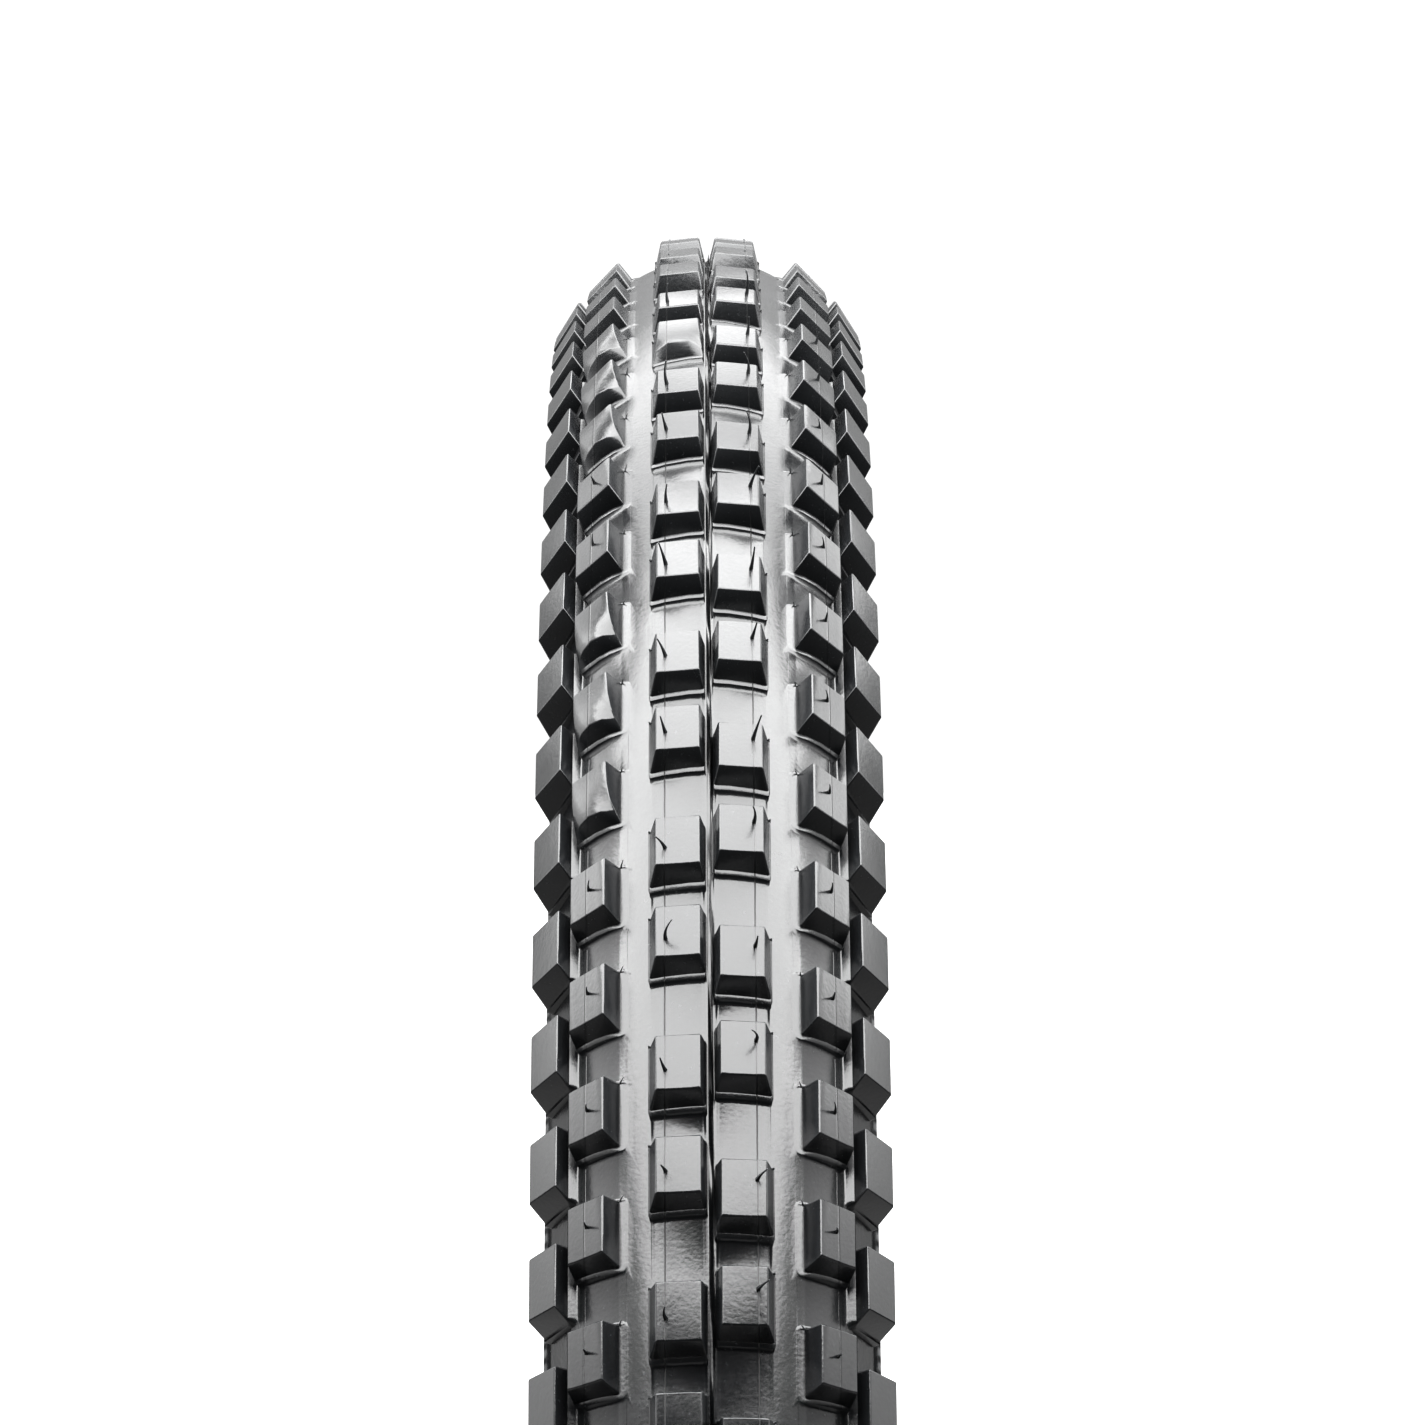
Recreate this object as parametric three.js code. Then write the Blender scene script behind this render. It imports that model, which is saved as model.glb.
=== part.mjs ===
// A 20 x 1.85 inch (47-406) knobbly bicycle tyre with wire beads, in millimetres.
// The wheel axis is Y, Z is up, and the origin is the centre of the wheel.
// A cross-section is drawn in [y, r]: y across the tyre from its centre line, r out from the axis.
import * as THREE from "three";

// ---- driving dimensions -------------------------------------------------------------------

const PITCHES = 46; // repeats of the tread pattern round the tyre
const PITCH = (2 * Math.PI) / PITCHES; // one repeat, radians
const TREAD_RADIUS = 248.6; // from the axis to the top of the centre blocks
const SECTION_RADIUS = 21; // of the round tread base, seen in cross-section
const SECTION_CENTRE = 224.2; // from the axis to the middle of the round cross-section
const RIGHT_HALF_TURN = -0.0026; // the right mould half sits this much behind the left, radians

const SECTION_STEP = 30; // degrees between the corners of the round layers in cross-section
const FACETS = 36; // flat facets of each layer round the wheel, one centred at the top
const GAP = 0.1; // left between neighbouring layers
const PLY = 0.45; // thickness of one rubberised fabric ply
const TAPE = 0.25; // thickness of the tape round the bead wire
const INNER_PLY_RADIUS = 18.5; // middle of the inner ply, in cross-section
const OUTER_PLY_RADIUS = INNER_PLY_RADIUS + PLY + GAP; // middle of the outer ply
const BREAKER_RADIUS = OUTER_PLY_RADIUS + PLY + GAP; // middle of the breaker strip
const BREAKER_REACH = 60; // degrees each side of the crown
const TREAD_EDGE = 83.6; // degrees from the crown to the edge of the tread rubber
const SIDEWALL_TOP = 84; // degrees from the crown to the upper edge of the sidewall rubber

const WIRE = { y: 10.3, r: 205.6, radius: 0.95 }; // the steel bead wire
const TAPE_REACH = 1.2; // from the wire's centre to the middle of the tape
const BEAD_PLY_REACH = 1.65; // from the wire's centre to the inner ply under it
const BEAD_SKIN_REACH = 2.2; // from the wire's centre to the outer ply and the chafer
const CHAFER_FLANK_REACH = 2.75; // from the wire's centre to the chafer on the rim side

// ---- the cross-section --------------------------------------------------------------------

// A point of the round section: radius from its centre, degrees from the crown.
function polar(radius, degrees) {
  const a = THREE.MathUtils.degToRad(degrees);
  return [radius * Math.sin(a), SECTION_CENTRE + radius * Math.cos(a)];
}

// A point of the bead, measured from the centre of the wire.
function atBead(dy, dr) {
  return [WIRE.y + dy, WIRE.r + dr];
}

// Corners of a round layer from the crown to an angle, one each SECTION_STEP degrees.
function arc(radius, lastDegrees) {
  const corners = [];
  for (let a = 0; a <= lastDegrees; a += SECTION_STEP) corners.push(polar(radius, a));
  return corners;
}

const mirrored = (outline) => outline.map(([y, r]) => [-y, r]).reverse();

// A right-hand path that starts on the centre line, continued to the left-hand side.
const bothSides = (path) => [...mirrored(path.slice(1)), ...path];

// The points of a path moved sideways, keeping every stretch parallel.
function offset(path, distance) {
  const normal = (a, b) => {
    const length = Math.hypot(b[0] - a[0], b[1] - a[1]);
    return [(a[1] - b[1]) / length, (b[0] - a[0]) / length];
  };
  return path.map((p, i) => {
    const before = normal(path[Math.max(i - 1, 0)], path[Math.max(i, 1)]);
    const last = path.length - 1;
    const after = normal(path[Math.min(i, last - 1)], path[Math.min(i + 1, last)]);
    const sum = [before[0] + after[0], before[1] + after[1]];
    const mitre = (2 * distance) / (sum[0] ** 2 + sum[1] ** 2);
    return [p[0] + sum[0] * mitre, p[1] + sum[1] * mitre];
  });
}

// The outline of a sheet of even thickness that follows a path.
function sheet(path, thickness) {
  return [...offset(path, thickness / 2), ...offset(path, -thickness / 2).reverse()];
}

// ---- turning an outline into a ring -------------------------------------------------------

function signedArea(outline) {
  return outline.reduce((sum, [y, r], i) => {
    const [y2, r2] = outline[(i + 1) % outline.length];
    return sum + (y * r2 - y2 * r) / 2;
  }, 0);
}

// A full ring round the wheel axis, with its facets in line with every other ring's.
function ring(outline) {
  const turned = signedArea(outline) > 0 ? [...outline].reverse() : outline;
  const points = [...turned, turned[0]].map(([y, r]) => new THREE.Vector2(r, y));
  return new THREE.LatheGeometry(points, FACETS, Math.PI / FACETS);
}

// ---- the tread ----------------------------------------------------------------------------

// Each row of knobs on the right-hand half: the foot and top corners across the tyre, the
// length of the top along the tyre, how far the front and back walls flare out at the foot,
// and the places of the knob centres within one pitch (the left-hand row has the same
// places, half a pitch on for the centre row).
const onBase = (degrees) => polar(SECTION_RADIUS, degrees);
const KNOB_ROWS = [
  {
    innerFoot: onBase(1.2),
    innerTop: [1.2, TREAD_RADIUS],
    outerTop: [7, TREAD_RADIUS - 0.6],
    outerFoot: onBase(21.4),
    length: 7.8,
    frontFlare: 2,
    backFlare: 0.4,
    places: { left: [-0.0289, 0.0289], right: [PITCH / 2 - 0.0289, PITCH / 2 + 0.0289] },
  },
  {
    innerFoot: onBase(32.6),
    innerTop: [13.5, 244.8],
    outerTop: [18.1, 240.1],
    outerFoot: onBase(52.9),
    length: 7.7,
    frontFlare: 1.3,
    backFlare: 0.4,
    places: { left: [0.0135, 0.0135 + PITCH / 2], right: [0.0135, 0.0135 + PITCH / 2] },
  },
  {
    innerFoot: onBase(56),
    innerTop: [19.6, 238.85],
    outerTop: [23.1, 233.3],
    outerFoot: onBase(76),
    length: 8.5,
    frontFlare: 1,
    backFlare: 0.4,
    places: { left: [-0.005, -0.005 + PITCH / 2], right: [-0.005, -0.005 + PITCH / 2] },
  },
];

// Collects shared vertices and the triangles between them.
class Surface {
  positions = [];
  triangles = [];

  vertex([y, r], theta) {
    this.positions.push(r * Math.cos(theta), y, r * Math.sin(theta));
    return this.positions.length / 3 - 1;
  }

  quad(a, b, c, d) {
    this.triangles.push(a, b, c, a, c, d);
  }

  // A ring of vertices at one point of the cross-section.
  loop(point, angles) {
    return angles.map((theta) => ({ theta, index: this.vertex(point, theta) }));
  }

  // The band between two rings whose vertices need not line up.
  zip(from, to) {
    const angle = (list, i) => list[i % list.length].theta + Math.floor(i / list.length) * 2 * Math.PI;
    const index = (list, i) => list[i % list.length].index;
    let i = 0;
    let j = to.findIndex((v) => v.theta >= from[0].theta);
    if (j < 0) j = to.length;
    const lastI = from.length;
    const lastJ = j + to.length;
    while (i < lastI || j < lastJ) {
      const stepFrom = j >= lastJ || (i < lastI && angle(from, i + 1) <= angle(to, j + 1));
      if (stepFrom) {
        this.triangles.push(index(from, i), index(to, j), index(from, i + 1));
        i += 1;
      } else {
        this.triangles.push(index(from, i), index(to, j), index(to, j + 1));
        j += 1;
      }
    }
  }

  geometry() {
    const geometry = new THREE.BufferGeometry();
    geometry.setAttribute("position", new THREE.Float32BufferAttribute(this.positions, 3));
    geometry.setIndex(this.triangles);
    geometry.computeVertexNormals();
    return geometry;
  }
}

// The front and back edges of every knob in a row, in order round the tyre.
function knobEdges(row, places) {
  const middle = (row.innerTop[1] + row.outerTop[1]) / 2;
  const half = row.length / 2 / middle;
  const front = row.frontFlare / middle;
  const back = row.backFlare / middle;
  const centres = [];
  for (let k = 0; k < PITCHES; k += 1) centres.push(...places.map((place) => k * PITCH + place));
  return centres.map((c) => ({
    footFront: c - half - front,
    topFront: c - half,
    topBack: c + half,
    footBack: c + half + back,
  }));
}

// One row of knobs on its strip of base, between the rings at its two feet.
function addKnobRow(surface, section, edges) {
  const [footA, topA, topB, footB] = section;
  const angles = edges.flatMap((e) => [e.footFront, e.footBack]);
  const ringA = surface.loop(footA, angles);
  const ringB = surface.loop(footB, angles);
  edges.forEach((edge, k) => {
    const a0 = ringA[2 * k].index;
    const a1 = ringA[2 * k + 1].index;
    const b0 = ringB[2 * k].index;
    const b1 = ringB[2 * k + 1].index;
    const tops = [topA, topB].map((p) => [edge.topFront, edge.topBack].map((t) => surface.vertex(p, t)));
    const [[ta0, ta1], [tb0, tb1]] = tops;
    surface.quad(ta0, tb0, tb1, ta1);
    surface.quad(a0, ta0, ta1, a1);
    surface.quad(tb0, b0, b1, tb1);
    surface.quad(a0, b0, tb0, ta0);
    surface.quad(a1, ta1, tb1, b1);
    const next = (2 * k + 2) % angles.length;
    surface.quad(a1, b1, ringB[next].index, ringA[next].index);
  });
  return [ringA, ringB];
}

function treadGeometry() {
  const surface = new Surface();
  const facetCorners = Array.from({ length: FACETS }, (_, k) => ((2 * k + 1) * Math.PI) / FACETS);
  const rings = [];
  const addRows = (side) => {
    const left = side === "left";
    const rows = left ? [...KNOB_ROWS].reverse() : KNOB_ROWS;
    for (const row of rows) {
      const section = [row.innerFoot, row.innerTop, row.outerTop, row.outerFoot];
      const turn = left ? 0 : RIGHT_HALF_TURN;
      const edges = knobEdges(row, row.places[side].map((place) => place + turn));
      rings.push(addKnobRow(surface, left ? mirrored(section) : section, edges));
    }
  };
  addRows("left");
  addRows("right");
  rings.slice(1).forEach((pair, k) => surface.zip(rings[k][1], pair[0]));

  const edge = polar(SECTION_RADIUS, TREAD_EDGE);
  const lining = [polar(OUTER_PLY_RADIUS + PLY / 2 + GAP, TREAD_EDGE)];
  for (let a = BREAKER_REACH; a >= 0; a -= SECTION_STEP) lining.push(polar(BREAKER_RADIUS + PLY / 2 + GAP, a));
  const back = [edge, ...lining, ...mirrored(lining.slice(0, -1)), ...mirrored([edge])];
  const loops = back.map((point) => surface.loop(point, facetCorners));
  surface.zip(rings[rings.length - 1][1], loops[0]);
  loops.slice(1).forEach((loop, k) => surface.zip(loops[k], loop));
  surface.zip(loops[loops.length - 1], rings[0][0]);
  return surface.geometry();
}

// ---- the layers under the tread -----------------------------------------------------------

// The inner ply: bead to bead, and folded up round each wire.
function innerPlyOutline() {
  const path = [
    ...arc(INNER_PLY_RADIUS, 120),
    polar(INNER_PLY_RADIUS, 135),
    atBead(-BEAD_PLY_REACH, BEAD_PLY_REACH),
    atBead(-BEAD_PLY_REACH, -BEAD_PLY_REACH),
    atBead(BEAD_PLY_REACH, -BEAD_PLY_REACH),
    atBead(BEAD_PLY_REACH, 2.13),
    atBead(3.02, 4.8),
  ];
  return sheet(bothSides(path), PLY);
}

// The outer ply: bead to bead, outside the folded ends of the inner one.
function outerPlyOutline() {
  const path = [
    ...arc(OUTER_PLY_RADIUS, 120),
    polar(OUTER_PLY_RADIUS + PLY + GAP + 0.05, 135),
    atBead(BEAD_SKIN_REACH, 2),
    atBead(BEAD_SKIN_REACH, -BEAD_PLY_REACH),
  ];
  return sheet(bothSides(path), PLY);
}

// The breaker strip: an extra layer of fabric under the tread.
function breakerOutline() {
  return sheet(bothSides(arc(BREAKER_RADIUS, BREAKER_REACH)), PLY);
}

// The sidewall rubber: thickest where it meets the tread.
function sidewallOutline() {
  const inside = OUTER_PLY_RADIUS + PLY / 2 + GAP;
  return [
    polar(inside, SIDEWALL_TOP),
    polar(inside, 90),
    polar(inside, 120),
    polar(inside + 0.6, 135),
    polar(20.8, 135),
    polar(20.25, 120),
    polar(20.85, 90),
    polar(SECTION_RADIUS, SIDEWALL_TOP),
  ];
}

// The chafer: a woven strip folded round the bead, where the rim rubs.
function chaferOutline() {
  const path = [
    atBead(-0.81, 3.12),
    atBead(-BEAD_SKIN_REACH, 1.9),
    atBead(-BEAD_SKIN_REACH, -BEAD_SKIN_REACH),
    atBead(CHAFER_FLANK_REACH, -BEAD_SKIN_REACH),
    atBead(CHAFER_FLANK_REACH, 1.87),
    atBead(3.88, 4.06),
  ];
  return sheet(path, PLY);
}

// The rubberised tape round the wire, open towards the filler.
function tapeOutline() {
  const path = [
    atBead(-TAPE_REACH, 1),
    atBead(-TAPE_REACH, -TAPE_REACH),
    atBead(TAPE_REACH, -TAPE_REACH),
    atBead(TAPE_REACH, 1),
  ];
  return sheet(path, TAPE);
}

// The bead filler: a rubber wedge above the wire, between the ply and its folded end.
function fillerOutline() {
  return [atBead(-1, 1.5), atBead(1.3, 1.5), atBead(1.32, 2.2), atBead(2.3, 4.25)];
}

// The steel wire hoop, with six sides in cross-section.
function wireOutline() {
  const sides = 6;
  return Array.from({ length: sides }, (_, k) => {
    const a = (2 * Math.PI * k) / sides;
    return atBead(WIRE.radius * Math.sin(a), WIRE.radius * Math.cos(a));
  });
}

// ---- materials and the assembly -----------------------------------------------------------

const material = (color, roughness, metalness = 0) =>
  new THREE.MeshStandardMaterial({ color, roughness, metalness });

const tyre = new THREE.Group();

function addPiece(name, geometry, pieceMaterial) {
  const mesh = new THREE.Mesh(geometry, pieceMaterial);
  mesh.name = name;
  tyre.add(mesh);
}

function addPair(name, outline, makeMaterial) {
  addPiece(`${name}_left`, ring(mirrored(outline)), makeMaterial());
  addPiece(`${name}_right`, ring(outline), makeMaterial());
}

addPiece("tread", treadGeometry(), material(0x2b2c2d, 0.55));
addPiece("breaker_strip", ring(breakerOutline()), material(0x6a6660, 0.9));
addPiece("casing_ply_outer", ring(outerPlyOutline()), material(0x3a3a38, 0.85));
addPiece("casing_ply_inner", ring(innerPlyOutline()), material(0x46443f, 0.85));
addPair("sidewall", sidewallOutline(), () => material(0x262728, 0.6));
addPair("chafer", chaferOutline(), () => material(0x1d1d1e, 0.85));
addPair("bead_filler", fillerOutline(), () => material(0x202021, 0.7));
addPair("bead_tape", tapeOutline(), () => material(0x5a5550, 0.9));
addPair("bead_wire", wireOutline(), () => material(0xb08a55, 0.35, 1));

export default tyre;
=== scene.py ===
import math
import random

import bmesh
import bpy
from mathutils import Matrix, Vector


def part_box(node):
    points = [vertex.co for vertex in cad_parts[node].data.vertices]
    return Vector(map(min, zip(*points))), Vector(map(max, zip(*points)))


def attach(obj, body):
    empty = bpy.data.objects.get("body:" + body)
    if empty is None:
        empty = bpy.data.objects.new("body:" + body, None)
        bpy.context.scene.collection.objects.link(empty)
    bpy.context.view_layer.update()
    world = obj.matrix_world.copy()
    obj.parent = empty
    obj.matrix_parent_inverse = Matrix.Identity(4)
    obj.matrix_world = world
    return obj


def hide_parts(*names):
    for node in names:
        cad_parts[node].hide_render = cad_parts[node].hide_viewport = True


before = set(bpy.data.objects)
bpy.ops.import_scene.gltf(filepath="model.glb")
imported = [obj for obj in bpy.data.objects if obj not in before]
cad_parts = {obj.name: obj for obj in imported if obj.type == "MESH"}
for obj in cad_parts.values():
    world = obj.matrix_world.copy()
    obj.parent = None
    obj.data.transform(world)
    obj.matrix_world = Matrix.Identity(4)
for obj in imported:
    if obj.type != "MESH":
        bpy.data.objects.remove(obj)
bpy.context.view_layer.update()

# A 20 x 1.85 inch knobbly bicycle tyre. The wheel axis is Y, Z is up, and the wheel's centre
# is the origin. Shapes are worked out in millimetres and turned into metres when a mesh is
# made. A cross-section point is (y, r): y across the tyre, r out from the wheel axis. An angle
# round the wheel starts at +X, where the camera stands, and rises towards +Z.

MM = 0.001
TURN = 2 * math.pi
SEED = 46

# ---- sizes taken from the frame -----------------------------------------------------------


def frame_box(node):
    """Lowest and highest corner of a CAD node, in millimetres."""
    low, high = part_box(node)
    return low / MM, high / MM


WIRE_LOW, WIRE_HIGH = frame_box("bead_wire_right")
WIRE_Y = (WIRE_LOW.y + WIRE_HIGH.y) / 2
WIRE_RADIUS = (WIRE_HIGH.y - WIRE_LOW.y) / 2
GROUND = frame_box("tread")[0].z

# ---- driving dimensions, which repeat the design's, in mm and in degrees from the crown ----

PITCHES = 46  # repeats of the tread's pattern round the tyre
PITCH = TURN / PITCHES
TREAD_RADIUS = 248.6  # on the tops of the centre blocks
SECTION_RADIUS = 21.0  # of the round cross-section, out to the tread's base
SECTION_CENTRE = 224.2  # from the wheel axis to the middle of the cross-section
RIGHT_HALF_TURN = -0.0026  # of the mould's right half against the left, in radians
HOOP_RADIUS = 205.6  # from the wheel axis to the middle of the bead wire
PLY = 0.45  # thickness of a fabric layer
TAPE = 0.25  # thickness of the tape round the bead wire
GAP = 0.1  # between neighbouring layers
INNER_PLY_RADIUS = 18.5
OUTER_PLY_RADIUS = INNER_PLY_RADIUS + PLY + GAP
BREAKER_RADIUS = OUTER_PLY_RADIUS + PLY + GAP
BREAKER_REACH = 60
TREAD_EDGE = 83.6
SIDEWALL_TOP = 84
SEGMENTS = 8 * PITCHES  # steps round the tyre of a smooth piece
SMALLEST_TURN = 20  # a path's slighter turns are not rounded

# ---- the cross-section --------------------------------------------------------------------


def polar(radius, degrees):
    """A point of the round section: radius from its centre, degrees from the crown."""
    a = math.radians(degrees)
    return (radius * math.sin(a), SECTION_CENTRE + radius * math.cos(a))


def at_bead(dy, dr):
    """A point of the bead, measured from the centre of the wire."""
    return (WIRE_Y + dy, HOOP_RADIUS + dr)


def mix(a, b, share):
    return tuple(p + (q - p) * share for p, q in zip(a, b))


def distance(a, b):
    return math.hypot(b[0] - a[0], b[1] - a[1])


def arc(radius, first, last, step=5):
    """Points of a round layer between two angles from the crown, both ends included."""
    count = max(1, round(abs(last - first) / step))
    return [polar(radius, first + (last - first) * k / count) for k in range(count + 1)]


def mirrored(outline):
    return [(-y, r) for y, r in reversed(outline)]


def both_sides(path):
    """A right-hand path that starts on the centre line, continued to the left-hand side."""
    return mirrored(path[1:]) + path


def rounded(path, radius, steps=3):
    """The path with each of its sharper corners replaced by a small arc."""
    result = [path[0]]
    for before, corner, after in zip(path, path[1:], path[2:]):
        a, b = distance(before, corner), distance(corner, after)
        u = ((before[0] - corner[0]) / a, (before[1] - corner[1]) / a)
        v = ((after[0] - corner[0]) / b, (after[1] - corner[1]) / b)
        turn = math.pi - math.acos(max(-1, min(1, u[0] * v[0] + u[1] * v[1])))
        if math.degrees(turn) < SMALLEST_TURN:
            result.append(corner)
            continue
        reach = min(radius * math.tan(turn / 2), 0.45 * a, 0.45 * b)
        start = (corner[0] + u[0] * reach, corner[1] + u[1] * reach)
        end = (corner[0] + v[0] * reach, corner[1] + v[1] * reach)
        for k in range(steps + 1):
            t = k / steps
            result.append(mix(mix(start, corner, t), mix(corner, end, t), t))
    return result + [path[-1]]


def offset(path, by):
    """The points of a path moved sideways, keeping every stretch parallel."""
    def normal(a, b):
        length = distance(a, b)
        return ((a[1] - b[1]) / length, (b[0] - a[0]) / length)

    moved = []
    last = len(path) - 1
    for i, point in enumerate(path):
        n0 = normal(path[max(i - 1, 0)], path[max(i, 1)])
        n1 = normal(path[min(i, last - 1)], path[min(i + 1, last)])
        total = (n0[0] + n1[0], n0[1] + n1[1])
        mitre = 2 * by / (total[0] ** 2 + total[1] ** 2)
        moved.append((point[0] + total[0] * mitre, point[1] + total[1] * mitre))
    return moved


def sheet(path, thickness):
    """The outline of a sheet of even thickness that follows a path."""
    return offset(path, thickness / 2) + offset(path, -thickness / 2)[::-1]


# ---- meshes -------------------------------------------------------------------------------


class Skin:
    """Collects shared vertices, how much painted edge highlight each one gets, and the faces
    between them.
    """

    def __init__(self):
        self.vertices = []
        self.edge_highlight = []
        self.faces = []
        self.outlines = {}  # which sharp outline a vertex is on, where it is on one

    def vertex(self, point, theta, edge_highlight=0.0):
        """Adds a section point at an angle round the wheel, and returns its index."""
        y, r = point
        self.vertices.append((r * math.cos(theta) * MM, y * MM, r * math.sin(theta) * MM))
        self.edge_highlight.append(edge_highlight)
        return len(self.vertices) - 1

    def loop(self, point, count):
        """An even ring of vertices at one point of the cross-section."""
        angles = [TURN * k / count for k in range(count)]
        return [(theta, self.vertex(point, theta)) for theta in angles]

    def zip(self, here, there):
        """The band between two rings whose vertices need not line up."""
        def angle(ring, i):
            return ring[i % len(ring)][0] + TURN * (i // len(ring))

        def index(ring, i):
            return ring[i % len(ring)][1]

        i = 0
        starts = [k for k, (theta, _) in enumerate(there) if theta >= here[0][0]]
        j = starts[0] if starts else len(there)
        last_i, last_j = len(here), j + len(there)
        while i < last_i or j < last_j:
            if j >= last_j or (i < last_i and angle(here, i + 1) <= angle(there, j + 1)):
                self.faces.append((index(here, i), index(there, j), index(here, i + 1)))
                i += 1
            else:
                self.faces.append((index(here, i), index(there, j), index(there, j + 1)))
                j += 1

    def mesh(self, name):
        data = bpy.data.meshes.new(name)
        data.from_pydata(self.vertices, [], self.faces)
        # The painted edge highlight, stored as a value on each vertex.
        edge_highlight = data.attributes.new("edge_highlight", "FLOAT", "POINT")
        edge_highlight.data.foreach_set("value", self.edge_highlight)
        return data


def add_piece(data, material, sharp=35, replaced=()):
    """One finished piece on the tyre's one body. sharp: an edge is sharp from this angle."""
    work = bmesh.new()
    work.from_mesh(data)
    bmesh.ops.recalc_face_normals(work, faces=work.faces)
    if work.calc_volume(signed=True) < 0:
        bmesh.ops.reverse_faces(work, faces=work.faces)
    work.to_mesh(data)
    work.free()
    data.shade_smooth()
    data.set_sharp_from_angle(angle=math.radians(sharp))
    data.materials.append(material)
    piece = bpy.data.objects.new(data.name, data)
    bpy.context.scene.collection.objects.link(piece)
    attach(piece, "root")
    if replaced:
        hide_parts(*replaced)
    return piece


def revolve(name, outline):
    """A closed outline turned round the wheel axis. UVs hold metres along it, and turns."""
    lengths = [0.0]
    for a, b in zip(outline, outline[1:] + outline[:1]):
        lengths.append(lengths[-1] + distance(a, b))
    skin = Skin()
    count = len(outline)
    for k in range(SEGMENTS):
        for point in outline:
            skin.vertex(point, TURN * k / SEGMENTS)
    uvs = []
    for k in range(SEGMENTS):
        after = (k + 1) % SEGMENTS
        for i in range(count):
            j = (i + 1) % count
            corners = (k * count + i, after * count + i, after * count + j, k * count + j)
            skin.faces.append(corners)
            for step, along in ((k, i), (k + 1, i), (k + 1, i + 1), (k, i + 1)):
                uvs.append((lengths[along] * MM, step / SEGMENTS))
    data = skin.mesh(name)
    layer = data.uv_layers.new(name="layup")
    for loop, uv in zip(layer.data, uvs):
        loop.uv = uv
    return data


# ---- materials ----------------------------------------------------------------------------


MOULD_LINE = 5.8  # from the centre plane to the fine groove over the centre blocks
KNOB_RIDGE = 15.9  # from the centre plane to the fine ridge over the inner knobs
SERRATIONS = 721  # fine radial ribs round each sidewall
SERRATED_BAND = (223.2, 226.2)  # how far from the wheel axis they start and end


class Nodes:
    """Adds and links the nodes of one tree."""

    def __init__(self, tree):
        self.tree = tree

    def add(self, kind, **settings):
        node = self.tree.nodes.new(kind)
        for key, value in settings.items():
            setattr(node, key, value)
        return node

    def link(self, source, target):
        self.tree.links.new(source, target)

    def math(self, operation, a, b=0.0):
        node = self.add("ShaderNodeMath", operation=operation)
        for socket, value in zip(node.inputs, (a, b)):
            if isinstance(value, (int, float)):
                socket.default_value = value
            else:
                self.link(value, socket)
        return node.outputs[0]

    def remap(self, value, low, high, to_low, to_high):
        """The value's range from low to high stretched to another, and clamped to it."""
        node = self.add("ShaderNodeMapRange")
        for socket, number in zip(node.inputs[1:5], (low, high, to_low, to_high)):
            socket.default_value = number
        self.link(value, node.inputs[0])
        return node.outputs[0]


class Finish(Nodes):
    """A procedural material: a Principled shader with the nodes that feed it."""

    def __init__(self, name):
        self.material = bpy.data.materials.new(name)
        self.material.use_nodes = True
        super().__init__(self.material.node_tree)
        self.shader = self.tree.nodes["Principled BSDF"]
        place = self.add("ShaderNodeTexCoord")
        in_mm = self.add("ShaderNodeVectorMath", operation="SCALE")
        in_mm.inputs["Scale"].default_value = 1 / MM
        self.link(place.outputs["Object"], in_mm.inputs[0])
        self.position = in_mm.outputs[0]

    def noise(self, scale, detail=3, roughness=0.55):
        """Noise with this many features to a millimetre."""
        node = self.add("ShaderNodeTexNoise")
        node.inputs["Scale"].default_value = scale
        node.inputs["Detail"].default_value = detail
        node.inputs["Roughness"].default_value = roughness
        self.link(self.position, node.inputs["Vector"])
        return node.outputs[0]

    def blend(self, factor, a, b):
        """Colour a where the factor is 0, and b where it is 1."""
        node = self.add("ShaderNodeMix", data_type="RGBA")
        self.link(factor, node.inputs[0])
        for socket, colour in ((node.inputs[6], a), (node.inputs[7], b)):
            if isinstance(colour, tuple):
                socket.default_value = (*colour, 1)
            else:
                self.link(colour, socket)
        return node.outputs[2]

    def bump(self, height, depth_mm, below=None):
        """A normal for relief this deep where the height is 1, added to the one below."""
        node = self.add("ShaderNodeBump")
        node.inputs["Strength"].default_value = 1
        node.inputs["Distance"].default_value = depth_mm * MM
        self.link(height, node.inputs["Height"])
        if below is not None:
            self.link(below, node.inputs["Normal"])
        return node.outputs["Normal"]

    def set(self, **values):
        """Values or links for the shader's sockets, named with _ for a space."""
        for key, value in values.items():
            socket = self.shader.inputs[key.replace("_", " ")]
            if isinstance(value, bpy.types.NodeSocket):
                self.link(value, socket)
            else:
                socket.default_value = (*value, 1) if isinstance(value, tuple) else value


def line_mask(finish, place, half_width):
    """1 on a thin line round the tyre this far from the centre plane, else 0. It wanders."""
    wander = 0.12
    split = finish.add("ShaderNodeSeparateXYZ")
    finish.link(finish.position, split.inputs[0])
    stray = finish.math("MULTIPLY", finish.noise(0.3, 2), wander)
    side = finish.math("ADD", finish.math("ABSOLUTE", split.outputs[1]), stray)
    away = finish.math("ABSOLUTE", finish.math("SUBTRACT", side, place + wander / 2))
    return finish.remap(away, half_width / 2, half_width, 1, 0)


def axis_distance(finish):
    """How far a point is from the wheel axis, in mm."""
    flat = finish.add("ShaderNodeVectorMath", operation="MULTIPLY")
    flat.inputs[1].default_value = (1, 0, 1)
    finish.link(finish.position, flat.inputs[0])
    length = finish.add("ShaderNodeVectorMath", operation="LENGTH")
    finish.link(flat.outputs[0], length.inputs[0])
    return length.outputs["Value"]


def below_tops(finish):
    """1 on the tread's base, fading to a third on the tops of the centre blocks."""
    base = SECTION_CENTRE + SECTION_RADIUS
    return finish.remap(axis_distance(finish), base + 0.6, base + 1.8, 1.0, 0.35)


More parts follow.
